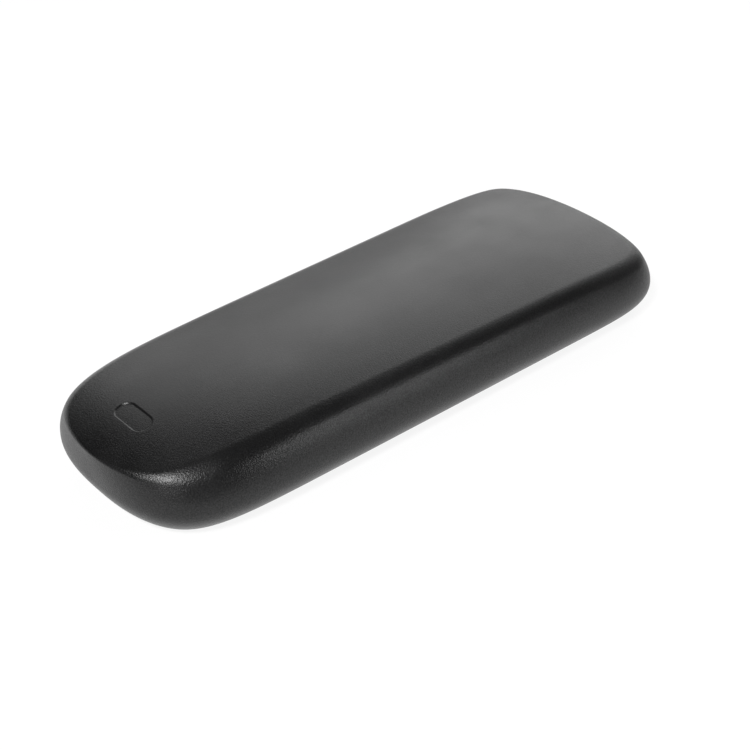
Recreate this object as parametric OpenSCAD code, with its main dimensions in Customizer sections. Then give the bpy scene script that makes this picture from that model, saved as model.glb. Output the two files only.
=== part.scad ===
// Moulded armrest pad: an integral-skin foam cushion on a ribbed carrier,
// stiffened by a steel plate and bolted to a chair arm through four threaded inserts.
// Millimetres, +Z up. The origin is the centre of the base, the nose points to -Y
// and the tail to +Y. The pad is the same on its left (-X) and right (+X) sides.

/* [Pad plan] */
// Overall length, nose to tail
pad_length = 265; // [240:1:290]
// Width across the belly line at mid length
pad_width = 100.8; // [90:0.2:110]
// Extra width at the tail, and less at the nose, as a share of the width
tail_flare = 0.073; // [0:0.001:0.1]
// Roundness of the nose across the pad: 2 is round, more is squarer
nose_power_x = 2.5; // [2:0.05:4]
// Squareness of the nose along the pad
nose_power_y = 9.7; // [5:0.1:12]
// Roundness of the tail across the pad
tail_power_x = 4.15; // [2.4:0.05:5]
// Squareness of the tail along the pad
tail_power_y = 13; // [6:0.5:16]

/* [Pad section] */
// Height of the crown above the base
pad_height = 33.7; // [30:0.1:37]
// Height of the widest line above the base
belly_height = 12.3; // [10:0.1:14]
// How far the lower edge is tucked in under the belly line
base_tuck = 7.4; // [5:0.1:8]
// How far the crown falls towards the sides
cross_crown = 7; // [3:0.1:8]
// How far the crown falls at the nose
nose_droop = 9.3; // [5:0.1:13]
// How suddenly the nose falls
droop_power = 8.9; // [4:0.1:13]
// How far the crown falls at the tail
tail_droop = 2.9; // [2:0.1:6]
// Where the fall towards nose and tail starts, from -1 at the nose to 1 at the tail
droop_start = 0.47; // [0:0.01:0.6]
// Run of the round edge around the nose
nose_edge = 0.9; // [0.6:0.1:3]
// Run of the round edge along the sides and the tail
round_edge = 4; // [3:0.1:8]
// Rise of a round edge for each unit of its run, where there is height for it
edge_rise = 0.8; // [0.8:0.05:2]
// How far the side leans in between the belly line and the crown, at the nose end
side_lean_front = 8; // [0:0.1:9]
// How far the side leans in, at the tail end
side_lean_rear = 6.6; // [0:0.1:9]
// How far the tail leans in; the nose is upright
tail_lean = 7.5; // [0:0.1:9]
// How quickly the crisp nose edge opens into the side edge: lower is quicker
edge_blend = 0.49; // [0.4:0.01:1]
// Thickness of the dense outer skin
skin_t = 1.8; // [1.2:0.1:2.5]
// Width of the skin's lip around the carrier, on the base
lip_width = 4.5; // [3:0.5:6]
// Height of the solid lip
lip_height = 3; // [2:0.5:4]

/* [Carrier] */
// Height of the carrier plate
carrier_height = 8; // [7:0.5:10]
// Thickness of its floor
floor_t = 2.4; // [2:0.1:3]
// Thickness of its outer wall
wall_t = 2.4; // [2:0.1:3]
// Thickness of its ribs
rib_t = 1.8; // [1.4:0.1:2.2]
// Distance between ribs, both ways
rib_pitch = 25; // [22:0.5:26]
// Set-back of the ribs from the mounting face
rib_recess = 0.8; // [0.4:0.1:1.5]
// Width of the mounting rails that join the insert bosses
rail_w = 7; // [5:0.5:9]
// Radius of an insert boss
boss_r = 7.5; // [7:0.1:8.5]
// Radius of a screw boss
screw_boss_r = 4; // [3.5:0.1:5]
// Gap between the carrier and the lip around it
carrier_gap = 0.15; // [0.1:0.05:0.3]

/* [Fixings] */
// Distance between inserts across the pad
insert_pitch_x = 50; // [44:0.5:52]
// Distance between inserts along the pad
insert_pitch_y = 100; // [90:1:110]
// Bore radius of an M6 insert
insert_bore_r = 2.5; // [2.5:0.1:2.6]
// Radius of an insert's barrel
barrel_r = 4.2; // [4:0.1:4.6]
// Radius of an insert's flange
flange_r = 6.5; // [6:0.1:7]
// Thickness of an insert's flange
flange_t = 1.2; // [1:0.1:1.5]
// Thickness of the steel stiffener
plate_t = 1.5; // [1:0.1:2]
// Width of the steel stiffener
plate_w = 66; // [64:1:68]
// Length of the steel stiffener
plate_l = 182; // [176:1:190]
// Corner radius of the steel stiffener
plate_corner_r = 10; // [6:1:14]
// Radius of the holes that the foam flows through
foam_hole_r = 8; // [5:0.5:9]
// Distance between stiffener screws along the pad
screw_pitch_y = 75; // [70:1:80]
// Shank radius of a stiffener screw
shank_r = 1.6; // [1.5:0.1:1.8]
// Head radius of a stiffener screw
head_r = 3.2; // [3:0.1:3.5]
// Head height of a stiffener screw
head_h = 2; // [1.6:0.1:2.4]

/* [Hidden] */

half_l = pad_length / 2;
half_w = pad_width / 2;
cap_wall = 1;                       // wall of an insert cap
cap_clear = 0.1;                    // gap between a cap and the flange inside it
cap_r = flange_r + cap_clear + cap_wall;
cap_h = 5.5;                        // room for the end of a mounting screw
plate_top = carrier_height + plate_t;
screw_bite = 4;                     // screw length in a boss, past the carrier's floor
plug_h = floor_t + screw_bite;      // screw length below the plate
mouth = 0.4;                        // chamfer at the mouth of an insert
head_slot_r = 0.9;                  // driver recess of a screw
head_slot_h = 1.2;
over = 1;                           // overlap that a cut takes past a face

// Steps along the straight side and around the corner of each quarter of the outline
side_steps = 10;
corner_steps = 10;
// Share of the half length where the side ends and the corner begins
corner_at = 0.8;
// Above 1, the steps around a corner start short and grow towards the end
corner_growth = 1.5;

// Rings of the pad's surface, from the base to the middle of the crown
wall_levels = [0, 0.18, 0.4, 0.7, 1];       // on the lower wall: 0 is the base, 1 the belly line
wall_shares = [0.25, 0.5, 0.75];            // on the upper wall, up to the round edge
edge_angles = [0 : 18 : 90];                // on the round edge: 90 meets the crown
crown_shares = [0.85, 0.6, 0.3];            // on the crown, as shares of its rim
edge_min = 0.4;                             // least run and rise of the edge inside the skin

left = -1;
right = 1;
front = -1;
rear = 1;

// ---- the plan outline -------------------------------------------------------------

// One quarter of the curve |x|^p + |y|^q = 1, from the side (1, 0) to short of the end (0, 1)
function quarter(p, q) = let (corner_x = pow(1 - pow(corner_at, q), 1 / p)) concat(
    [for (i = [0 : side_steps - 1]) let (y = corner_at * i / side_steps)
        [pow(1 - pow(y, q), 1 / p), y]],
    [for (i = [0 : corner_steps - 1]) let (x = corner_x * (1 - pow(i / corner_steps, corner_growth)))
        [x, pow(1 - pow(x, p), 1 / q)]]
);

tail_quarter = quarter(tail_power_x, tail_power_y);
nose_quarter = quarter(nose_power_x, nose_power_y);
quarter_n = len(tail_quarter);

// The whole curve, anticlockwise from +X
unit_outline = concat(
    tail_quarter,
    [[0, 1]],
    [for (i = [quarter_n - 1 : -1 : 0]) [-tail_quarter[i].x, tail_quarter[i].y]],
    [for (i = [1 : quarter_n - 1]) [-nose_quarter[i].x, -nose_quarter[i].y]],
    [[0, -1]],
    [for (i = [quarter_n - 1 : -1 : 1]) [nose_quarter[i].x, -nose_quarter[i].y]]
);
n = len(unit_outline);

outline = [for (p = unit_outline) [p.x * half_w * (1 + tail_flare * p.y), p.y * half_l]];

// Unit vector into the pad at each point of the outline
inward = [for (i = [0 : n - 1])
    let (t = outline[(i + 1) % n] - outline[(i + n - 1) % n]) [-t.y, t.x] / norm(t)];

// ---- the moulded form -------------------------------------------------------------

function ease(v) = v * v * (3 - 2 * v);

// The lower of two rises, with a smooth change from one to the other
function soft_min(a, b) = pow(pow(a, -4) + pow(b, -4), -1 / 4);

// Height of the crown over a point of the plan
function crown_z(p) = let (
    v = p.y / half_l,
    to_nose = max(0, (droop_start - v) / (droop_start + 1)),
    to_tail = max(0, (v - droop_start) / (1 - droop_start))
) pad_height - nose_droop * pow(to_nose, droop_power) - tail_droop * pow(to_tail, 2)
    - cross_crown * pow(p.x / half_w, 2);

// 1 on the long sides, 0 on the nose and tail
side_share = [for (d = inward) pow(d.x * d.x, edge_blend)];

// Run and rise of the round upper edge at each point of the outline
edge_run = [for (i = [0 : n - 1])
    let (end = inward[i].y > 0 ? nose_edge : round_edge)
    side_share[i] * round_edge + (1 - side_share[i]) * end];
wall_up = [for (p = outline) crown_z(p) - belly_height];
edge_up = [for (i = [0 : n - 1]) soft_min(edge_run[i] * edge_rise, wall_up[i])];

// How far each point of the outline leans in, all the way up to the crown
full_lean = [for (i = [0 : n - 1]) let (
    side = side_lean_front
        + (side_lean_rear - side_lean_front) * ease((outline[i].y / half_l + 1) / 2),
    end = inward[i].y > 0 ? 0 : tail_lean
) side_share[i] * side + (1 - side_share[i]) * end];

// The outline moved inwards by a distance
function inset_outline(d) = [for (i = [0 : n - 1]) outline[i] + inward[i] * d];

function tuck_at(level) = base_tuck * pow(1 - level, 2);

// A ring on the tucked-in lower wall: level 0 is the base and 1 the belly line
function tuck_ring(level, depth) = [for (p = inset_outline(tuck_at(level) + depth))
    [p.x, p.y, level * belly_height]];

// A point of the upper form: drop is how far it lies below the crown's rim, and run how
// far the round edge has moved it inwards
function upper_point(i, drop, run, depth) = let (
    level = 1 - drop / wall_up[i],
    p = outline[i] + inward[i] * (depth + run + full_lean[i] * level * level)
) [p.x, p.y, crown_z(p) - drop];

// A ring on the leaning upper wall: share 0 is the belly line and 1 the foot of the edge
function wall_ring(share, depth) = [for (i = [0 : n - 1])
    upper_point(i, wall_up[i] + (edge_up[i] - wall_up[i]) * share, 0, depth)];

// A ring on the round upper edge: angle 0 is its foot and 90 meets the crown
function edge_ring(angle, depth) = [for (i = [0 : n - 1]) let (
    run = max(edge_run[i] - depth, edge_min),
    rise = max(edge_up[i] - depth, edge_min)
) upper_point(i, depth + rise * (1 - sin(angle)), run * (1 - cos(angle)), depth)];

// A ring on the crown, scaled towards the middle of the pad
function crown_ring(share, depth) = [for (e = edge_ring(90, depth))
    let (p = [e.x, e.y] * share) [p.x, p.y, crown_z(p) - depth]];

// Rings from a given level of the lower wall up to the crown, depth inside the surface
function shell_rings(levels, depth) = concat(
    [for (level = levels) tuck_ring(level, depth)],
    [for (share = wall_shares) wall_ring(share, depth)],
    [for (angle = edge_angles) edge_ring(angle, depth)],
    [for (share = crown_shares) crown_ring(share, depth)]
);

function flat_ring(points, z) = [for (p = points) [p.x, p.y, z]];
function reversed(list) = [for (i = [len(list) - 1 : -1 : 0]) list[i]];

// A closed skin through a list of rings, from a first point to a last point
module ring_solid(first, rings, last) {
    m = len(rings);
    points = concat([first], [for (ring = rings) each ring], [last]);
    end = len(points) - 1;
    faces = concat(
        [for (i = [0 : n - 1]) [0, 1 + i, 1 + (i + 1) % n]],
        [for (k = [0 : m - 2], i = [0 : n - 1]) let (a = 1 + k * n, b = a + n, j = (i + 1) % n)
            each [[a + i, b + i, a + j], [a + j, b + i, b + j]]],
        [for (i = [0 : n - 1]) let (a = 1 + (m - 1) * n) [a + i, end, a + (i + 1) % n]]
    );
    polyhedron(points, faces);
}

lip_outline = inset_outline(base_tuck + lip_width);
carrier_outline = inset_outline(base_tuck + lip_width + carrier_gap);
carrier_inner = inset_outline(base_tuck + lip_width + carrier_gap + wall_t);
rib_outline = inset_outline(base_tuck + lip_width + carrier_gap + wall_t / 2);
lip_level = lip_height / belly_height;
cavity_levels = [lip_level, 0.65, 1];       // lower wall inside the skin, above the lip

// Dense outer skin, closed underneath by a solid lip around the carrier
module pad_skin() {
    cavity = concat(
        [flat_ring(lip_outline, 0), flat_ring(lip_outline, lip_height)],
        shell_rings(cavity_levels, skin_t)
    );
    color([0.13, 0.13, 0.135])
        ring_solid([0, 0, crown_z([0, 0]) - skin_t],
            concat(reversed(cavity), shell_rings(wall_levels, 0)),
            [0, 0, crown_z([0, 0])]);
}

// Soft core: it fills the skin, wraps the carrier's edge and leaves room for the fixings
module foam_core() {
    rings = concat(
        [flat_ring(carrier_outline, carrier_height), flat_ring(carrier_outline, lip_height)],
        shell_rings(cavity_levels, skin_t)
    );
    color([0.2, 0.2, 0.2])
        difference() {
            ring_solid([0, 0, carrier_height], rings, [0, 0, crown_z([0, 0]) - skin_t]);
            translate([0, 0, carrier_height - over])
                linear_extrude(plate_t + over) plate_outline();
            at_screws() translate([0, 0, plate_top - over]) cylinder(r = head_r, h = head_h + over);
            at_inserts() translate([0, 0, plate_top - over]) cylinder(r = cap_r, h = cap_h + over);
        }
}

// ---- the carrier ------------------------------------------------------------------

module at_inserts() {
    for (x = [left, right], y = [front, rear])
        translate([x * insert_pitch_x / 2, y * insert_pitch_y / 2, 0]) children();
}

module at_screws() {
    for (x = [left, right], y = [front, 0, rear])
        translate([x * insert_pitch_x / 2, y * screw_pitch_y, 0]) children();
}

// Ribs both ways on one pitch, set back from the mounting face
module ribs() {
    rib_h = carrier_height - floor_t - rib_recess;
    across = floor(half_w / rib_pitch);
    along = floor((half_l - lip_width) / rib_pitch);
    translate([0, 0, rib_recess]) {
        for (i = [-across : across])
            translate([i * rib_pitch - rib_t / 2, -half_l, 0]) cube([rib_t, pad_length, rib_h]);
        for (i = [-along : along])
            translate([-half_w, i * rib_pitch - rib_t / 2, 0]) cube([pad_width, rib_t, rib_h]);
    }
}

// H-shaped rails, flush with the mounting face, that join the insert bosses
module rails() {
    rail_h = carrier_height - floor_t;
    for (x = [left, right])
        translate([x * insert_pitch_x / 2 - rail_w / 2, -insert_pitch_y / 2, 0])
            cube([rail_w, insert_pitch_y, rail_h]);
    translate([-insert_pitch_x / 2, -rail_w / 2, 0]) cube([insert_pitch_x, rail_w, rail_h]);
}

// Ribbed tray that the foam is moulded onto
module carrier_plate() {
    floor_z = carrier_height - floor_t;
    color([0.16, 0.16, 0.165])
        difference() {
            union() {
                difference() {
                    linear_extrude(carrier_height) polygon(carrier_outline);
                    translate([0, 0, -over]) linear_extrude(floor_z + over) polygon(carrier_inner);
                }
                intersection() {
                    ribs();
                    linear_extrude(floor_z) polygon(rib_outline);
                }
                rails();
                at_inserts() cylinder(r = boss_r, h = floor_z);
                at_screws() translate([0, 0, rib_recess])
                    cylinder(r = screw_boss_r, h = floor_z - rib_recess);
            }
            at_inserts() translate([0, 0, -over]) cylinder(r = barrel_r, h = carrier_height + 2 * over);
            at_screws() translate([0, 0, carrier_height - plug_h]) cylinder(r = shank_r, h = plug_h + over);
        }
}

// ---- the fixings ------------------------------------------------------------------

module plate_outline() {
    square([plate_w - 2 * plate_corner_r, plate_l], center = true);
    square([plate_w, plate_l - 2 * plate_corner_r], center = true);
    for (x = [left, right], y = [front, rear])
        translate([x * (plate_w / 2 - plate_corner_r), y * (plate_l / 2 - plate_corner_r)])
            circle(r = plate_corner_r, $fn = 64);
}

// Steel plate that spreads the load of the inserts
module stiffener_plate() {
    holes = floor(plate_l / 2 / rib_pitch);
    color([0.62, 0.63, 0.64])
        translate([0, 0, carrier_height])
            difference() {
                linear_extrude(plate_t) plate_outline();
                translate([0, 0, -over]) {
                    at_inserts() cylinder(r = barrel_r, h = plate_t + 2 * over);
                    at_screws() cylinder(r = shank_r, h = plate_t + 2 * over);
                    for (i = [-holes : holes])
                        translate([0, i * rib_pitch, 0])
                            cylinder(r = foam_hole_r, h = plate_t + 2 * over);
                }
            }
}

// Self-tapping screws that hold the stiffener to the carrier
module stiffener_screws() {
    color([0.7, 0.7, 0.72])
        at_screws() translate([0, 0, plate_top])
            difference() {
                union() {
                    cylinder(r = head_r, h = head_h);
                    translate([0, 0, -plate_t - plug_h]) cylinder(r = shank_r, h = plate_t + plug_h);
                }
                translate([0, 0, head_h - head_slot_h])
                    cylinder(r = head_slot_r, h = head_slot_h + over, $fn = 6);
            }
}

// Flanged insert, pressed in from above so that a screw pulls its flange onto the plate
module insert(x, y) {
    top = plate_top + flange_t;
    color([0.72, 0.58, 0.3])
        translate([x * insert_pitch_x / 2, y * insert_pitch_y / 2, 0])
            rotate_extrude($fn = 96) polygon([
                [insert_bore_r + mouth, 0], [barrel_r, 0], [barrel_r, plate_top],
                [flange_r, plate_top], [flange_r, top], [insert_bore_r, top],
                [insert_bore_r, mouth],
            ]);
}

// Cap that keeps the foam out of an insert
module insert_cap(x, y) {
    color([0.85, 0.85, 0.82])
        translate([x * insert_pitch_x / 2, y * insert_pitch_y / 2, plate_top])
            difference() {
                cylinder(r = cap_r, h = cap_h);
                translate([0, 0, -over]) cylinder(r = cap_r - cap_wall, h = cap_h - cap_wall + over);
            }
}

$fn = 64;
pad_skin();
foam_core();
carrier_plate();
stiffener_plate();
stiffener_screws();
insert(left, front);  // insert_front_left
insert(right, front);  // insert_front_right
insert(left, rear);  // insert_rear_left
insert(right, rear);  // insert_rear_right
insert_cap(left, front);  // insert_cap_front_left
insert_cap(right, front);  // insert_cap_front_right
insert_cap(left, rear);  // insert_cap_rear_left
insert_cap(right, rear);  // insert_cap_rear_right
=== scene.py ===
import math

import bmesh
import bpy
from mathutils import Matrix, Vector


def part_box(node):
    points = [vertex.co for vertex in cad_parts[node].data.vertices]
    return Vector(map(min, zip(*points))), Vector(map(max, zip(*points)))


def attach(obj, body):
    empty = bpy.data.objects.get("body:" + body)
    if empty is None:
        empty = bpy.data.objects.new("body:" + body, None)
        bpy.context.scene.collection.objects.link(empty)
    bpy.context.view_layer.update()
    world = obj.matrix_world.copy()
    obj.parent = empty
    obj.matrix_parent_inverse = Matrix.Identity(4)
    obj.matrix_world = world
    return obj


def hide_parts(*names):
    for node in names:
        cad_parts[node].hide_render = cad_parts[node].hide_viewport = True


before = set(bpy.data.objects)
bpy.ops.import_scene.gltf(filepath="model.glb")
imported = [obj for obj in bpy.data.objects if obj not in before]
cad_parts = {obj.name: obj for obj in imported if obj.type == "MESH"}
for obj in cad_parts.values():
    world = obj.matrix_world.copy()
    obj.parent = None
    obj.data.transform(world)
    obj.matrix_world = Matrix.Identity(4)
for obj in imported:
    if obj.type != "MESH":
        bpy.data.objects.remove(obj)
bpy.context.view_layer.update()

bl_info = {
    "name": "Chair Armrest Pad",
    "version": (1, 0, 0),
    "blender": (4, 5, 0),
    "location": "3D View > Sidebar > Armrest Pad",
    "description": "Makes a moulded armrest pad on its ribbed carrier, with threaded inserts",
    "category": "Object",
}

MM = 0.001
WELD_DISTANCE = 0.002 * MM
CRISP_ANGLE = math.radians(38)
INSERTS = ("insert_front_left", "insert_front_right", "insert_rear_left", "insert_rear_right")
CAPS = ("insert_cap_front_left", "insert_cap_front_right", "insert_cap_rear_left", "insert_cap_rear_right")


# ---- properties ----------------------------------------------------------------------

def length_property(name, description, default):
    """A length in metres."""
    return bpy.props.FloatProperty(
        name=name, description=description, default=default, min=0, precision=5,
        subtype="DISTANCE", unit="LENGTH")


def number_property(name, description, default):
    """A plain number."""
    return bpy.props.FloatProperty(name=name, description=description, default=default, precision=4)


def count_property(name, description, default):
    """A whole number of steps."""
    return bpy.props.IntProperty(name=name, description=description, default=default, min=1)


def colour_property(name, description, default):
    """A linear colour."""
    return bpy.props.FloatVectorProperty(
        name=name, description=description, default=default, min=0, max=1, size=3, subtype="COLOR")


class PadForm(bpy.types.PropertyGroup):
    """Sizes of the moulded pad."""

    length: length_property("Length", "Nose to tail", 0.265)
    width: length_property("Width", "Across the belly line at mid length", 0.1008)
    flare: number_property("Tail Flare", "Extra width at the tail, as a share of the width", 0.073)
    nose_power_x: number_property("Nose Power X", "Roundness of the nose across the pad", 2.5)
    nose_power_y: number_property("Nose Power Y", "Squareness of the nose along the pad", 9.7)
    tail_power_x: number_property("Tail Power X", "Roundness of the tail across the pad", 4.15)
    tail_power_y: number_property("Tail Power Y", "Squareness of the tail along the pad", 13)
    height: length_property("Height", "Height of the crown", 0.0337)
    belly: length_property("Belly Height", "Height of the widest line", 0.0123)
    tuck: length_property("Base Tuck", "How far the lower edge is tucked in", 0.0074)
    cross_crown: length_property("Cross Crown", "Fall of the crown to the sides", 0.007)
    nose_droop: length_property("Nose Droop", "Fall of the crown at the nose", 0.0093)
    droop_power: number_property("Droop Power", "How suddenly the nose falls", 8.9)
    tail_droop: length_property("Tail Droop", "Fall of the crown at the tail", 0.0029)
    droop_start: number_property("Droop Start", "Where the falls start, -1 nose to 1 tail", 0.47)
    nose_edge: length_property("Nose Edge", "Run of the round edge around the nose", 0.0009)
    round_edge: length_property("Round Edge", "Run of the round edge along sides and tail", 0.004)
    edge_rise: number_property("Edge Rise", "Rise of a round edge for each unit of run", 0.8)
    edge_blend: number_property("Edge Blend", "How quickly the nose edge opens into the side", 0.49)
    lean_front: length_property("Side Lean Front", "How far the side leans in at the nose end", 0.008)
    lean_rear: length_property("Side Lean Rear", "How far the side leans in at the tail end", 0.0066)
    lean_tail: length_property("Tail Lean", "How far the tail leans in", 0.0075)
    skin: length_property("Skin", "Thickness of the dense skin", 0.0018)
    lip_width: length_property("Lip Width", "Width of the lip on the base", 0.0045)
    lip_height: length_property("Lip Height", "Height of the lip", 0.003)
    base_round: length_property("Base Round", "Rounding of the lower outer edge", 0.0006)
    parting_height: length_property("Parting Height", "Height of the mould's parting line", 0.0013)
    parting_depth: length_property("Parting Depth", "Depth of the parting line", 0.00014)
    parting_width: length_property("Parting Width", "Half the width of the parting line", 0.00025)


class RecessForm(bpy.types.PropertyGroup):
    """Sizes of the blank recess on the nose."""

    centre: number_property("Centre", "Place of the recess along the pad, in metres", -0.1128)
    length: length_property("Recess Length", "Across the pad", 0.0185)
    width: length_property("Recess Width", "Along the pad", 0.0085)
    depth: length_property("Recess Depth", "Depth of the recess", 0.00045)
    edge: length_property("Recess Edge", "Width of its soft edge", 0.0005)
    cuts: count_property("Cuts", "Finer steps cut into each face around the recess", 11)


class InsertForm(bpy.types.PropertyGroup):
    """Sizes of a threaded insert."""

    bore: length_property("Bore Radius", "Core radius of the thread", 0.0025)
    thread: length_property("Thread Depth", "Depth of the thread's groove", 0.00054)
    pitch: length_property("Thread Pitch", "Rise of the thread in one turn", 0.001)
    mouth: length_property("Mouth", "Chamfer at the mouth", 0.0004)
    barrel: length_property("Barrel Radius", "Radius of the barrel", 0.0042)
    flange: length_property("Flange Radius", "Radius of the flange", 0.0065)
    shoulder: length_property("Shoulder Height", "Height of the flange's underside", 0.0095)
    top: length_property("Top Height", "Height of the flange's top", 0.0107)


class FinishColours(bpy.types.PropertyGroup):
    """Colours of the finishes."""

    skin: colour_property("Skin", "Moulded polyurethane", (0.0038, 0.0038, 0.004))
    skin_worn: colour_property("Skin Handled", "Where hands have polished it", (0.0058, 0.0058, 0.006))
    foam: colour_property("Foam", "Cellular core", (0.03, 0.03, 0.031))
    plastic: colour_property("Carrier Plastic", "Glass-filled nylon", (0.013, 0.013, 0.0135))
    steel: colour_property("Plated Steel", "Zinc plating", (0.58, 0.6, 0.62))
    brass: colour_property("Insert Brass", "Turned brass", (0.72, 0.5, 0.22))
    tarnish: colour_property("Brass Tarnish", "Where the brass has dulled", (0.42, 0.25, 0.1))
    cap: colour_property("Cap Plastic", "Natural polyethylene", (0.7, 0.69, 0.64))


class StageSetting(bpy.types.PropertyGroup):
    """The floor, lights and camera."""

    azimuth: number_property("Azimuth", "Camera's turn about the upright, in degrees", 47.982)
    elevation: number_property("Elevation", "Camera's height angle, in degrees", 34.355)
    distance: length_property("Distance", "Camera to origin", 0.542)
    lens: number_property("Lens", "Focal length in millimetres", 62.567)
    shift_x: number_property("Shift X", "Sideways lens shift", 0.00735)
    shift_y: number_property("Shift Y", "Upward lens shift", -0.01188)
    floor_glow: number_property("Floor Glow", "Light given off by the floor", 0.88)
    floor_paint: number_property("Floor Paint", "Lightness of the floor's paint", 0.12)
    floor_half: length_property("Floor Half", "Half the width of the floor", 3)
    floor_drop: length_property("Floor Drop", "Gap between the floor and the pad", 0.0002)


# ---- fields: arithmetic for node trees -----------------------------------------------

class Field:
    """A value that a node tree works out at every point."""

    def __init__(self, tree, socket):
        self.tree = tree
        self.socket = socket


def feed(tree, value, socket):
    """Links a field to a socket, or sets the socket to a plain value."""
    if isinstance(value, Field):
        tree.links.new(value.socket, socket)
    else:
        socket.default_value = value


def calculate(operation, *values):
    """Adds a Math node over fields and plain numbers."""
    tree = next(value.tree for value in values if isinstance(value, Field))
    node = tree.nodes.new("ShaderNodeMath")
    node.operation = operation
    for index, value in enumerate(values):
        feed(tree, value, node.inputs[index])
    return Field(tree, node.outputs[0])


def arithmetic(operation, swapped):
    """Makes the method behind one of Python's signs."""
    def method(self, other):
        return calculate(operation, other, self) if swapped else calculate(operation, self, other)
    return method


for sign, node_operation in (
    ("add", "ADD"), ("sub", "SUBTRACT"), ("mul", "MULTIPLY"), ("truediv", "DIVIDE"), ("pow", "POWER"),
):
    setattr(Field, f"__{sign}__", arithmetic(node_operation, False))
    setattr(Field, f"__r{sign}__", arithmetic(node_operation, True))


def between(start, end, share):
    """A value part of the way from start to end."""
    return start + (end - start) * share


def larger(a, b):
    """The larger of two values, which may be plain numbers."""
    if isinstance(a, Field) or isinstance(b, Field):
        return calculate("MAXIMUM", a, b)
    return max(a, b)


def smaller(a, b):
    """The smaller of two values, with a field among them."""
    return calculate("MINIMUM", a, b)


def above(a, b):
    """1 where a is more than b, and 0 elsewhere."""
    return calculate("GREATER_THAN", a, b)


def eased(share):
    """A share from 0 to 1 with a soft start and end."""
    return share * share * (3 - 2 * share)


def combined(tree, x, y, z):
    """A vector from three values."""
    node = tree.nodes.new("ShaderNodeCombineXYZ")
    for value, socket in zip((x, y, z), node.inputs):
        feed(tree, value, socket)
    return Field(tree, node.outputs[0])


def separated(tree, vector):
    """The three parts of a vector."""
    node = tree.nodes.new("ShaderNodeSeparateXYZ")
    tree.links.new(vector, node.inputs[0])
    return [Field(tree, socket) for socket in node.outputs]


def mapped(tree, value, old_range, new_range, blend="LINEAR"):
    """A value moved from one range to another, and held inside it."""
    node = tree.nodes.new("ShaderNodeMapRange")
    node.interpolation_type = blend
    names = ("Value", "From Min", "From Max", "To Min", "To Max")
    for name, amount in zip(names, (value, *old_range, *new_range)):
        feed(tree, amount, node.inputs[name])
    return Field(tree, node.outputs[0])


# ---- building meshes with geometry nodes ---------------------------------------------

def make_plain(piece):
    """Turns an object's modifiers into its own plain mesh."""
    depsgraph = bpy.context.evaluated_depsgraph_get()
    mesh = bpy.data.meshes.new_from_object(piece.evaluated_get(depsgraph), depsgraph=depsgraph)
    piece.modifiers.clear()
    piece.data = mesh


def size_names(sizes):
    """Names of the values that a property group holds."""
    return [prop.identifier for prop in sizes.bl_rna.properties
            if prop.identifier not in ("rna_type", "name")]


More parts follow.
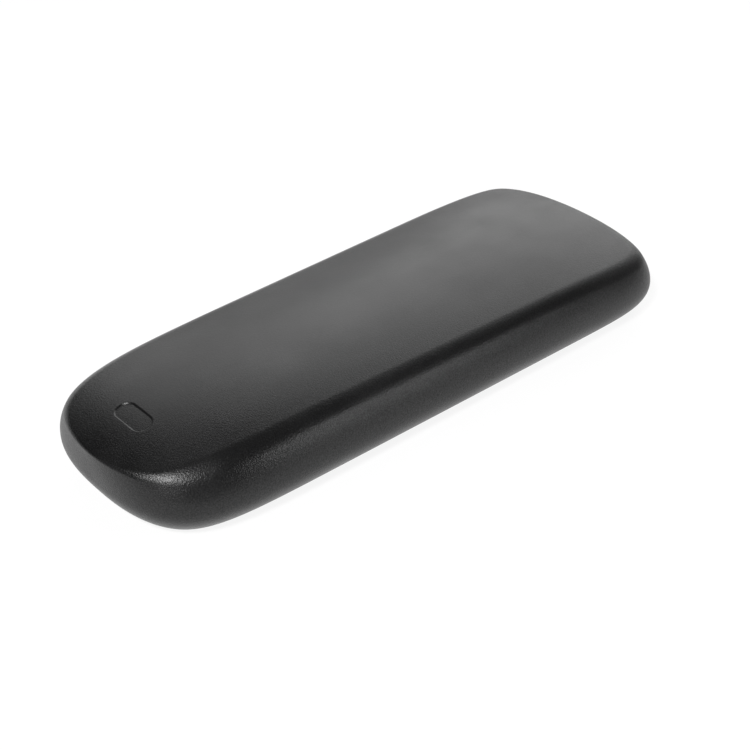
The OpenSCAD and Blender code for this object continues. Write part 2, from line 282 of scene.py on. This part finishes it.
class FormTree:
    """A node tree that bends flat grids into the zones of one closed skin.

    Each zone is a grid: around runs 0 to 1 about the upright, anticlockwise, and along
    runs 0 to 1 over the zone's rows. A zone's face points outwards when along follows
    the profile from the inside of the skin, under its base and up its outside.
    """

    def __init__(self, name, sizes, columns):
        self.tree = bpy.data.node_groups.new(name, "GeometryNodeTree")
        self.tree.is_modifier = True
        self.sizes = sizes
        self.columns = columns
        self.zones = []
        self.tree.interface.new_socket(name="Geometry", in_out="OUTPUT", socket_type="NodeSocketGeometry")
        self.sockets = {}
        for name in size_names(sizes):
            label = sizes.bl_rna.properties[name].name
            socket = self.tree.interface.new_socket(
                name=label, in_out="INPUT", socket_type="NodeSocketFloat")
            socket.default_value = getattr(sizes, name)
            self.sockets[name] = socket
        group_input = self.tree.nodes.new("NodeGroupInput")
        for index, name in enumerate(self.sockets):
            setattr(self, name, Field(self.tree, group_input.outputs[index]))
        position = self.tree.nodes.new("GeometryNodeInputPosition")
        x, y, _ = separated(self.tree, position.outputs[0])
        self.around = x + 0.5
        self.along = y + 0.5

    def zone(self, rows, x, y, z):
        """Adds one grid of rows, bent to a place given by fields."""
        grid = self.tree.nodes.new("GeometryNodeMeshGrid")
        grid.inputs["Size X"].default_value = 1
        grid.inputs["Size Y"].default_value = 1
        grid.inputs["Vertices X"].default_value = self.columns + 1
        grid.inputs["Vertices Y"].default_value = rows + 1
        place = self.tree.nodes.new("GeometryNodeSetPosition")
        self.tree.links.new(grid.outputs["Mesh"], place.inputs["Geometry"])
        self.tree.links.new(combined(self.tree, x, y, z).socket, place.inputs["Position"])
        self.zones.append(place.outputs["Geometry"])

    def close(self, material):
        """Joins the zones into one smooth skin with crisp corners."""
        nodes = self.tree.nodes
        join = nodes.new("GeometryNodeJoinGeometry")
        for zone in reversed(self.zones):
            self.tree.links.new(zone, join.inputs[0])
        merge = nodes.new("GeometryNodeMergeByDistance")
        merge.inputs["Distance"].default_value = WELD_DISTANCE
        smooth = nodes.new("GeometryNodeSetShadeSmooth")
        angle = nodes.new("GeometryNodeInputMeshEdgeAngle")
        corner = above(Field(self.tree, angle.outputs[0]), CRISP_ANGLE)
        crisp = nodes.new("GeometryNodeSetShadeSmooth")
        crisp.domain = "EDGE"
        crisp.inputs["Shade Smooth"].default_value = False
        self.tree.links.new(corner.socket, crisp.inputs["Selection"])
        realize = nodes.new("GeometryNodeRealizeInstances")
        paint = nodes.new("GeometryNodeSetMaterial")
        paint.inputs["Material"].default_value = material
        output = nodes.new("NodeGroupOutput")
        chain = [join, merge, smooth, crisp, realize, paint, output]
        for before, after in zip(chain, chain[1:]):
            self.tree.links.new(before.outputs[0], after.inputs[0])

    def grow(self, name):
        """Runs the tree with the property group's sizes and returns a plain mesh object."""
        piece = bpy.data.objects.new(name, bpy.data.meshes.new(name))
        bpy.context.scene.collection.objects.link(piece)
        modifier = piece.modifiers.new("Form", "NODES")
        modifier.node_group = self.tree
        for size, socket in self.sockets.items():
            modifier[socket.identifier] = float(getattr(self.sizes, size))
        make_plain(piece)
        piece.data.name = name
        if not piece.data.polygons:
            raise RuntimeError(f"{name} came out empty")
        return piece


# ---- materials -----------------------------------------------------------------------

class Finish:
    """A procedural material under construction, on one Principled shader."""

    def __init__(self, name):
        self.material = bpy.data.materials.new(name)
        self.material.use_nodes = True
        self.tree = self.material.node_tree
        self.shader = self.tree.nodes["Principled BSDF"]
        self.place = self.tree.nodes.new("ShaderNodeTexCoord").outputs["Object"]

    def stretched(self, x, y, z):
        """Object coordinates scaled along each axis."""
        node = self.tree.nodes.new("ShaderNodeMapping")
        node.inputs["Scale"].default_value = (x, y, z)
        self.tree.links.new(self.place, node.inputs["Vector"])
        return node.outputs[0]

    def noise(self, scale, detail=2.0, roughness=0.5, vector=None):
        """Soft noise from 0 to 1, with scale in cells a metre."""
        node = self.tree.nodes.new("ShaderNodeTexNoise")
        node.inputs["Scale"].default_value = scale
        node.inputs["Detail"].default_value = detail
        node.inputs["Roughness"].default_value = roughness
        self.tree.links.new(vector or self.place, node.inputs["Vector"])
        return Field(self.tree, node.outputs[0])

    def cells(self, scale, feature="F1", vector=None):
        """Distance to the nearest cell's middle, with scale in cells a metre."""
        node = self.tree.nodes.new("ShaderNodeTexVoronoi")
        node.feature = feature
        node.inputs["Scale"].default_value = scale
        self.tree.links.new(vector or self.place, node.inputs["Vector"])
        return Field(self.tree, node.outputs["Distance"])

    def ranged(self, value, low, high, new_low, new_high):
        """A value moved from one range to another, and held inside it."""
        return mapped(self.tree, value, (low, high), (new_low, new_high))

    def mixed(self, share, first, second):
        """A colour part of the way from first to second."""
        node = self.tree.nodes.new("ShaderNodeMix")
        node.data_type = "RGBA"
        feed(self.tree, share, node.inputs["Factor"])
        node.inputs["A"].default_value = (*first, 1)
        node.inputs["B"].default_value = (*second, 1)
        return Field(self.tree, node.outputs["Result"])

    def set(self, name, value):
        """Sets or links one of the shader's inputs."""
        feed(self.tree, value, self.shader.inputs[name])

    def bump(self, height, strength, distance):
        """Raises the surface by a field of height."""
        node = self.tree.nodes.new("ShaderNodeBump")
        node.inputs["Strength"].default_value = strength
        node.inputs["Distance"].default_value = distance
        self.tree.links.new(height.socket, node.inputs["Height"])
        self.tree.links.new(node.outputs[0], self.shader.inputs["Normal"])


def shaded(colour, share):
    """A colour made darker or lighter."""
    return [part * share for part in colour]


def skin_finish(colours):
    """Dense black polyurethane with a fine leather grain, faintly polished by handling."""
    finish = Finish("moulded_skin_finish")
    handled = finish.noise(34, 3, 0.55)
    patches = finish.ranged(handled, 0.42, 0.68, 0, 1)
    finish.set("Base Color", finish.mixed(patches, colours.skin, colours.skin_worn))
    smear = finish.noise(60, 4, 0.6, finish.stretched(1, 0.35, 1))
    smears = finish.ranged(smear, 0.35, 0.7, 0, 1)
    speckle = finish.noise(1900, 2, 0.6)
    finish.set("Roughness", 0.33 + patches * 0.05 - smears * 0.05 + speckle * 0.06)
    finish.set("IOR", 1.48)
    pebbles = finish.ranged(finish.cells(1650, "SMOOTH_F1"), 0.1, 0.7, 1, 0)
    creases = finish.noise(3000, 3, 0.6)
    height = separated(finish.tree, finish.place)[2]
    sides_end, crown_starts, crown_grain = 26 * MM, 32 * MM, 0.3
    depth = finish.ranged(height, sides_end, crown_starts, 1, crown_grain)
    pores = finish.ranged(finish.noise(1900, 3, 0.7), 0.35, 0.65, -1, 1)
    finish.set("Specular IOR Level", 0.5 + pores * depth * 0.16)
    finish.bump((pebbles * 0.5 + creases * 0.7) * depth, 0.72, 0.12 * MM)
    return finish.material


def foam_finish(colours):
    """Open-celled foam."""
    finish = Finish("foam_finish")
    cells = finish.cells(900)
    finish.set("Base Color", finish.mixed(cells, colours.foam, shaded(colours.foam, 0.3)))
    finish.set("Roughness", 0.95)
    finish.set("Sheen Weight", 0.2)
    finish.bump(cells + finish.noise(3000, 2) * 0.4, 0.8, 0.6 * MM)
    return finish.material


def plastic_finish(colours):
    """Glass-filled nylon with a spark-eroded grain and faint flow marks."""
    finish = Finish("carrier_plastic_finish")
    flow = finish.noise(28, 3, 0.6, finish.stretched(1, 0.25, 1))
    marked = finish.ranged(flow, 0.35, 0.7, 0, 1)
    finish.set("Base Color", finish.mixed(marked, colours.plastic, shaded(colours.plastic, 1.7)))
    grain = finish.noise(2400, 3, 0.65)
    finish.set("Roughness", 0.42 + finish.noise(90, 2) * 0.12 + grain * 0.06)
    finish.set("IOR", 1.5)
    finish.bump(grain + flow * 0.6, 0.35, 0.08 * MM)
    return finish.material


def steel_finish(name, colour, brushed):
    """Zinc-plated steel, with the long marks of rolling or the rings of turning."""
    finish = Finish(name)
    spangle = finish.noise(260, 2, 0.5)
    finish.set("Base Color", finish.mixed(spangle, colour, shaded(colour, 0.8)))
    finish.set("Metallic", 1)
    marks = finish.noise(900, 3, 0.7, finish.stretched(*brushed))
    finish.set("Roughness", finish.ranged(marks, 0.3, 0.7, 0.26, 0.44))
    finish.bump(marks + spangle * 0.5, 0.25, 0.06 * MM)
    return finish.material


def brass_finish(colours):
    """Turned brass with tool marks around it and slight tarnish."""
    finish = Finish("insert_brass_finish")
    tarnish = finish.noise(420, 4, 0.6)
    dulled = finish.ranged(tarnish, 0.4, 0.75, 0, 1)
    finish.set("Base Color", finish.mixed(dulled, colours.brass, colours.tarnish))
    finish.set("Metallic", 1)
    rings = finish.noise(500, 2, 0.6, finish.stretched(0.4, 0.4, 14))
    finish.set("Roughness", finish.ranged(rings, 0.3, 0.7, 0.2, 0.38))
    finish.bump(rings + tarnish * 0.3, 0.2, 0.04 * MM)
    return finish.material


def cap_finish(colours):
    """Natural polyethylene, a little cloudy."""
    finish = Finish("cap_plastic_finish")
    cloud = finish.noise(160, 3, 0.6)
    finish.set("Base Color", finish.mixed(cloud, colours.cap, shaded(colours.cap, 0.86)))
    finish.set("Roughness", 0.36 + cloud * 0.14)
    finish.set("IOR", 1.51)
    finish.bump(finish.noise(1700, 3, 0.6) + cloud, 0.25, 0.08 * MM)
    return finish.material


def repaint(node_name, material):
    """Gives a node of the frame a procedural finish."""
    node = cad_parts[node_name]
    for slot in node.material_slots:
        slot.material = material


# ---- the moulded pad -----------------------------------------------------------------

def crown_height(form, x, y):
    """Height of the crown over a point of the plan. It takes numbers or fields."""
    v = y / (form.length / 2)
    to_nose = larger(0, (form.droop_start - v) / (form.droop_start + 1))
    to_tail = larger(0, (v - form.droop_start) / (1 - form.droop_start))
    across = x / (form.width / 2)
    falls = form.nose_droop * to_nose ** form.droop_power + form.tail_droop * to_tail * to_tail
    return form.height - falls - form.cross_crown * across * across


class PadTree(FormTree):
    """The rule of the pad's form: a plan outline, moved inwards and upwards in rings."""

    COLUMNS = 432
    INNER_CROWN_ROWS = 12
    INNER_SIDE_ROWS = 8
    INNER_LOWER_ROWS = 6
    BASE_ROWS = 3
    LOWER_EDGE_ROWS = 5
    PARTING_ROWS = 24
    LOWER_WALL_ROWS = 12
    UPPER_WALL_ROWS = 16
    UPPER_EDGE_ROWS = 14
    CROWN_ROWS = 60

    # Where a quarter of the outline turns from even steps along the side to steps along the end
    CORNER_AT = 0.8
    CORNER_GROWTH = 1.5
    # The least run and rise of a round edge, on the inside of the skin
    EDGE_MIN = 0.4 * MM
    # How sharply the edge's rise is held below the height of the wall
    RISE_LIMIT_POWER = 4
    # Height of the finely divided band around the parting line, as a share of the line's height
    PARTING_BAND = 1.6

    def __init__(self, sizes):
        super().__init__("Moulded pad", sizes, self.COLUMNS)
        quarter = calculate("PINGPONG", self.around * 4, 1)
        nose_half = above(self.around, 0.5)
        left_half = above(self.around, 0.25) - above(self.around, 0.75)
        power_x = between(self.tail_power_x, self.nose_power_x, nose_half)
        power_y = between(self.tail_power_y, self.nose_power_y, nose_half)
        side_y = quarter * 2 * self.CORNER_AT
        side_x = (1 - smaller(side_y, 1) ** power_y) ** (1 / power_x)
        corner_x = (1 - self.CORNER_AT ** power_y) ** (1 / power_x)
        turn = larger(0, quarter * 2 - 1)
        end_x = corner_x * (1 - turn ** self.CORNER_GROWTH)
        end_y = (1 - end_x ** power_x) ** (1 / power_y)
        turning = above(quarter, 0.5)
        unit_x = between(side_x, end_x, turning)
        unit_y = between(side_y, end_y, turning)
        sign_x = 1 - left_half * 2
        sign_y = 1 - nose_half * 2
        half_l = self.length / 2
        half_w = self.width / 2
        spread = 1 + self.flare * unit_y * sign_y
        self.plan_x = unit_x * sign_x * half_w * spread
        self.plan_y = unit_y * sign_y * half_l
        slope_x = power_x * unit_x ** (power_x - 1) * sign_x / (half_w * spread)
        slope_y = (power_y * unit_y ** (power_y - 1) * sign_y / half_l
                   - power_x * unit_x ** power_x * self.flare / (spread * half_l))
        steepness = calculate("SQRT", slope_x * slope_x + slope_y * slope_y)
        self.inward_x = slope_x / steepness * -1
        self.inward_y = slope_y / steepness * -1
        share = (self.inward_x * self.inward_x) ** self.edge_blend
        front_to_rear = eased((self.plan_y / half_l + 1) / 2)
        end = between(self.round_edge, self.nose_edge, nose_half)
        self.run = between(end, self.round_edge, share)
        self.wall = crown_height(self, self.plan_x, self.plan_y) - self.belly
        power = self.RISE_LIMIT_POWER
        free_rise = self.run * self.edge_rise
        self.rise = (free_rise ** -power + self.wall ** -power) ** (-1 / power)
        side_lean = between(self.lean_front, self.lean_rear, front_to_rear)
        end_lean = self.lean_tail * (1 - nose_half)
        self.lean = between(end_lean, side_lean, share)

    def moved_in(self, inset):
        """The outline moved inwards by a distance."""
        return self.plan_x + self.inward_x * inset, self.plan_y + self.inward_y * inset

    def tucked(self, level):
        """Inset of the lower wall: level 0 is the base and 1 the belly line."""
        return self.tuck * (1 - level) * (1 - level)

    def ring_zone(self, rows, inset, z):
        """A zone of rings at one height each."""
        self.zone(rows, *self.moved_in(inset), z)

    def upper_place(self, drop, run, depth):
        """A point of the upper form: drop is how far it lies below the crown's rim, and run how
        far the round edge has moved it inwards."""
        level = 1 - drop / self.wall
        x, y = self.moved_in(depth + run + self.lean * level * level)
        return x, y, crown_height(self, x, y) - drop

    def edge_place(self, angle, depth):
        """A point of the round upper edge: angle 0 is its foot and a right angle meets the crown."""
        run = larger(self.run - depth, self.EDGE_MIN)
        rise = larger(self.rise - depth, self.EDGE_MIN)
        drop = depth + rise * (1 - calculate("SINE", angle))
        return self.upper_place(drop, run * (1 - calculate("COSINE", angle)), depth)

    def wall_place(self, share, depth):
        """A point of the leaning upper wall: share 0 is the belly line and 1 the edge's foot."""
        foot = larger(self.rise - depth, self.EDGE_MIN) + depth
        return self.upper_place(between(self.wall, foot, share), 0, depth)

    def crown_zone(self, rows, share, depth):
        """The crown, scaled from the middle of the pad."""
        right_angle = self.around * 0 + math.pi / 2
        x, y, _ = self.edge_place(right_angle, depth)
        x, y = x * share, y * share
        self.zone(rows, x, y, crown_height(self, x, y) - depth)

    def lay_zones(self):
        """Lays every zone, from the middle of the inner crown to the middle of the outer one."""
        along = self.along
        skin = self.skin
        quarter_turn = math.pi / 2
        lip_level = self.lip_height / self.belly
        lip_inset = self.tuck + self.lip_width
        self.crown_zone(self.INNER_CROWN_ROWS, along, skin)
        self.zone(self.INNER_SIDE_ROWS, *self.edge_place((1 - along) * quarter_turn, skin))
        self.zone(self.INNER_SIDE_ROWS, *self.wall_place(1 - along, skin))
        level = between(1, lip_level, along)
        self.ring_zone(self.INNER_LOWER_ROWS, self.tucked(level) + skin, level * self.belly)
        lip_top_inset = between(self.tucked(lip_level) + skin, lip_inset, along)
        self.ring_zone(2, lip_top_inset, self.lip_height + along * 0)
        self.ring_zone(1, lip_inset + along * 0, self.lip_height * (1 - along))
        round_start = self.tuck + self.base_round
        self.ring_zone(self.BASE_ROWS, between(lip_inset, round_start, along), along * 0)
        round_level = self.base_round / self.belly
        inset = (round_start * (1 - along) * (1 - along) + self.tuck * 2 * along * (1 - along)
                 + self.tucked(round_level) * along * along)
        self.ring_zone(self.LOWER_EDGE_ROWS, inset, self.base_round * along * along)
        fine_top = self.parting_height * self.PARTING_BAND
        z = between(self.base_round, fine_top, along)
        off_line = (z - self.parting_height) / self.parting_width
        groove = larger(0, 1 - off_line * off_line)
        inset = self.tucked(z / self.belly) + groove * groove * self.parting_depth
        self.ring_zone(self.PARTING_ROWS, inset, z)
        z = between(fine_top, self.belly, along)
        self.ring_zone(self.LOWER_WALL_ROWS, self.tucked(z / self.belly), z)
        self.zone(self.UPPER_WALL_ROWS, *self.wall_place(along, 0))
        self.zone(self.UPPER_EDGE_ROWS, *self.edge_place(along * quarter_turn, 0))
        self.crown_zone(self.CROWN_ROWS, 1 - along, 0)


def press_recess(piece, form, recess):
    """Sinks a blank, round-ended recess into the nose, through faces cut finer around it."""
    margin = 2 * MM
    closeness = 0.3 * MM
    reach_x = recess.length / 2 + margin
    reach_y = recess.width / 2 + margin

    def on_crown(point):
        return abs(point.z - crown_height(form, point.x, point.y)) < closeness

    mesh = bmesh.new()
    mesh.from_mesh(piece.data)
    faces = []
    for face in mesh.faces:
        middle = face.calc_center_median()
        near = abs(middle.x) < reach_x and abs(middle.y - recess.centre) < reach_y
        if near and on_crown(middle):
            faces.append(face)
    edges = list({edge for face in faces for edge in face.edges})
    bmesh.ops.subdivide_edges(mesh, edges=edges, cuts=recess.cuts, use_grid_fill=True)
    straight = (recess.length - recess.width) / 2
    for vertex in mesh.verts:
        point = vertex.co
        near = abs(point.x) < 2 * reach_x and abs(point.y - recess.centre) < 2 * reach_y
        if not near or not on_crown(point):
            continue
        off = math.hypot(max(0, abs(point.x) - straight), point.y - recess.centre)
        share = min(1, max(0, (recess.width / 2 - off) / recess.edge))
        point.z = crown_height(form, point.x, point.y) - recess.depth * eased(share)
    mesh.to_mesh(piece.data)
    mesh.free()


class ARMREST_OT_pad(bpy.types.Operator):
    """Makes the moulded pad"""

    bl_idname = "armrest.pad"
    bl_label = "Moulded Pad"

    def execute(self, context):
        form = context.scene.armrest_pad
        tree = PadTree(form)
        tree.lay_zones()
        tree.close(skin_finish(context.scene.armrest_finish))
        pad = tree.grow("moulded_pad")
        press_recess(pad, form, context.scene.armrest_recess)
        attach(pad, "root")
        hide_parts("pad_skin")
        return {"FINISHED"}


# ---- the carrier ---------------------------------------------------------------------

class ARMREST_OT_carrier(bpy.types.Operator):
    """Makes the ribbed carrier, with the soft edges of a moulding"""

    bl_idname = "armrest.carrier"
    bl_label = "Ribbed Carrier"

    WELD_DISTANCE = 0.01 * MM
    FLAT_ANGLE = math.radians(1)
    CORNER_ANGLE = math.radians(35)
    ROUNDING = 0.2 * MM

    def execute(self, context):
        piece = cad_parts["carrier_plate"].copy()
        piece.data = piece.data.copy()
        piece.name = "ribbed_carrier"
        context.scene.collection.objects.link(piece)
        mesh = bmesh.new()
        mesh.from_mesh(piece.data)
        bmesh.ops.remove_doubles(mesh, verts=mesh.verts, dist=self.WELD_DISTANCE)
        bmesh.ops.dissolve_limit(
            mesh, angle_limit=self.FLAT_ANGLE, verts=mesh.verts, edges=mesh.edges)
        for face in mesh.faces:
            face.smooth = True
        for edge in mesh.edges:
            edge.smooth = edge.calc_face_angle(0) < self.CORNER_ANGLE
        mesh.to_mesh(piece.data)
        mesh.free()
        bevel = piece.modifiers.new("Moulded edges", "BEVEL")
        bevel.width = self.ROUNDING
        bevel.segments = 2
        bevel.limit_method = "ANGLE"
        bevel.angle_limit = self.CORNER_ANGLE
        make_plain(piece)
        piece.data.materials.clear()
        piece.data.materials.append(plastic_finish(context.scene.armrest_finish))
        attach(piece, "root")
        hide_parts("carrier_plate")
        return {"FINISHED"}


# ---- the threaded inserts ------------------------------------------------------------

class InsertTree(FormTree):
    """A turned insert: a threaded bore, a barrel and a flange."""

    COLUMNS = 72
    THREAD_ROWS = 96
    # Height over which the thread runs out at each end
    RUN_OUT = 0.5 * MM

    def __init__(self, sizes, centre):
        super().__init__("Threaded insert", sizes, self.COLUMNS)
        self.centre = centre

    def turned(self, rows, radius, z):
        """A zone turned about the insert's own axis."""
        angle = self.around * (2 * math.pi)
        x = radius * calculate("COSINE", angle) + self.centre[0]
        y = radius * calculate("SINE", angle) + self.centre[1]
        self.zone(rows, x, y, z)

    def lay_zones(self):
        """Lays every zone, from the top of the bore down, and then up the outside."""
        along = self.along
        z = between(self.top, self.mouth, along)
        turns = z / self.pitch - self.around
        groove = calculate("PINGPONG", turns, 0.5) * 2
        fade = smaller(1, smaller(self.top - z, z - self.mouth) / self.RUN_OUT)
        self.turned(self.THREAD_ROWS, self.bore + self.thread * eased(groove) * fade, z)
        self.turned(1, between(self.bore, self.bore + self.mouth, along), self.mouth * (1 - along))
        self.turned(1, between(self.bore + self.mouth, self.barrel, along), along * 0)
        self.turned(1, self.barrel + along * 0, self.shoulder * along)
        self.turned(1, between(self.barrel, self.flange, along), self.shoulder + along * 0)
        self.turned(1, self.flange + along * 0, between(self.shoulder, self.top, along))
        self.turned(1, between(self.flange, self.bore, along), self.top + along * 0)


class ARMREST_OT_inserts(bpy.types.Operator):
    """Makes the four threaded inserts"""

    bl_idname = "armrest.inserts"
    bl_label = "Threaded Inserts"

    def execute(self, context):
        brass = brass_finish(context.scene.armrest_finish)
        for node_name in INSERTS:
            low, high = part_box(node_name)
            centre = [(low[0] + high[0]) / 2, (low[1] + high[1]) / 2]
            tree = InsertTree(context.scene.armrest_insert, centre)
            tree.lay_zones()
            tree.close(brass)
            piece = tree.grow("threaded_" + node_name)
            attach(piece, "root")
            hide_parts(node_name)
        return {"FINISHED"}


class ARMREST_OT_hidden_parts(bpy.types.Operator):
    """Gives the enclosed foam, steel and caps their finishes"""

    bl_idname = "armrest.hidden_parts"
    bl_label = "Enclosed Parts"

    def execute(self, context):
        colours = context.scene.armrest_finish
        repaint("foam_core", foam_finish(colours))
        repaint("stiffener_plate", steel_finish("plated_steel_finish", colours.steel, (1, 0.04, 1)))
        repaint("stiffener_screws", steel_finish("screw_steel_finish", colours.steel, (0.3, 0.3, 6)))
        caps = cap_finish(colours)
        for node_name in CAPS:
            repaint(node_name, caps)
        return {"FINISHED"}


# ---- the stage -----------------------------------------------------------------------

def direction(azimuth, elevation):
    """Unit vector to a place seen from the origin: azimuth 0 is -Y and 90 is +X."""
    turn = math.radians(azimuth)
    up = math.radians(elevation)
    return Vector((math.sin(turn) * math.cos(up), -math.cos(turn) * math.cos(up), math.sin(up)))


def aim(thing, place, target):
    """Puts a light or camera at a place, looking at a target."""
    thing.location = place
    thing.rotation_euler = (target - place).to_track_quat("-Z", "Y").to_euler()


def add_softbox(name, place, size, brightness, target=Vector((0, 0, 0.02))):
    """Adds a rectangular lamp aimed at a target. Its brightness is its radiance."""
    lamp = bpy.data.lights.new(name, "AREA")
    lamp.shape = "RECTANGLE"
    lamp.size, lamp.size_y = size
    lamp.energy = brightness * math.pi * size[0] * size[1]
    box = bpy.data.objects.new(name, lamp)
    bpy.context.scene.collection.objects.link(box)
    box.visible_camera = False
    aim(box, place, target)


def paint_sky(world):
    """A dim overhead and a pale horizon."""
    world.use_nodes = True
    tree = world.node_tree
    place = tree.nodes.new("ShaderNodeTexCoord").outputs["Generated"]
    height = separated(tree, place)[2]
    horizon, overhead = 0.75, 0.03
    horizon_ends, overhead_starts = 0.03, 0.18
    strength = mapped(
        tree, height, (horizon_ends, overhead_starts), (horizon, overhead), "SMOOTHSTEP")
    background = tree.nodes["Background"]
    feed(tree, strength, background.inputs["Strength"])
    background.inputs["Color"].default_value = (1, 1, 1, 1)


class ARMREST_OT_stage(bpy.types.Operator):
    """Makes the floor, lights and camera"""

    bl_idname = "armrest.stage"
    bl_label = "Stage"

    def execute(self, context):
        scene = context.scene
        setting = scene.armrest_stage
        half = setting.floor_half
        mesh = bpy.data.meshes.new("floor")
        mesh.from_pydata(
            [(-half, -half, 0), (half, -half, 0), (half, half, 0), (-half, half, 0)], [], [(0, 1, 2, 3)])
        floor = bpy.data.objects.new("floor", mesh)
        scene.collection.objects.link(floor)
        floor.location.z = -setting.floor_drop
        paint = Finish("floor_paint")
        paint.set("Base Color", (*[setting.floor_paint] * 3, 1))
        paint.set("Roughness", 0.9)
        paint.set("Emission Color", (1, 1, 1, 1))
        paint.set("Emission Strength", setting.floor_glow)
        mesh.materials.append(paint.material)

        back, front = 1.6, 1.2
        add_softbox("rear_softbox", direction(-154, 31) * back, (1.35, 1.15), 2.3)
        add_softbox("far_side_softbox", direction(-113, 32) * back, (0.8, 1.1), 1.4)
        add_softbox("nose_lamp", direction(24, 50) * front, (0.22, 0.16), 108)
        add_softbox("nose_strip", direction(26, 26) * front, (0.14, 0.7), 5)
        beside_tail = Vector((0.36, 0.14, 0.17))
        near_front = Vector((0.04, -0.08, 0.02))
        add_softbox("side_softbox", beside_tail, (0.12, 0.07), 11, near_front)
        scene.world = scene.world or bpy.data.worlds.new("studio")
        paint_sky(scene.world)

        camera_data = bpy.data.cameras.new("camera")
        camera_data.sensor_width = 36
        camera_data.lens = setting.lens
        camera_data.shift_x = setting.shift_x
        camera_data.shift_y = setting.shift_y
        camera_data.clip_start = 0.01
        camera = bpy.data.objects.new("camera", camera_data)
        scene.collection.objects.link(camera)
        aim(camera, direction(setting.azimuth, setting.elevation) * setting.distance, Vector((0, 0, 0)))
        scene.camera = camera
        scene.view_settings.view_transform = "Standard"
        return {"FINISHED"}


# ---- panel and registration ----------------------------------------------------------

STEPS = (ARMREST_OT_pad, ARMREST_OT_carrier, ARMREST_OT_inserts, ARMREST_OT_hidden_parts, ARMREST_OT_stage)
GROUPS = {
    "armrest_pad": PadForm,
    "armrest_recess": RecessForm,
    "armrest_insert": InsertForm,
    "armrest_finish": FinishColours,
    "armrest_stage": StageSetting,
}


class ARMREST_PT_panel(bpy.types.Panel):
    """Lists the pad's pieces and sizes."""

    bl_idname = "ARMREST_PT_panel"
    bl_label = "Armrest Pad"
    bl_space_type = "VIEW_3D"
    bl_region_type = "UI"
    bl_category = "Armrest Pad"

    def draw(self, context):
        for step in STEPS:
            self.layout.operator(step.bl_idname)
        for name in GROUPS:
            group = getattr(context.scene, name)
            box = self.layout.box()
            for size in size_names(group):
                box.prop(group, size)


def register():
    """Registers the classes and hangs the property groups on the scene."""
    for group in GROUPS.values():
        bpy.utils.register_class(group)
    for step in STEPS:
        bpy.utils.register_class(step)
    bpy.utils.register_class(ARMREST_PT_panel)
    for name, group in GROUPS.items():
        setattr(bpy.types.Scene, name, bpy.props.PointerProperty(type=group))


def unregister():
    """Takes the property groups off the scene and unregisters the classes."""
    for name in GROUPS:
        delattr(bpy.types.Scene, name)
    bpy.utils.unregister_class(ARMREST_PT_panel)
    for step in reversed(STEPS):
        bpy.utils.unregister_class(step)
    for group in reversed(GROUPS.values()):
        bpy.utils.unregister_class(group)


def main():
    """Makes every piece in order."""
    register()
    bpy.ops.armrest.pad()
    bpy.ops.armrest.carrier()
    bpy.ops.armrest.inserts()
    bpy.ops.armrest.hidden_parts()
    bpy.ops.armrest.stage()


if __name__ == "__main__":
    main()
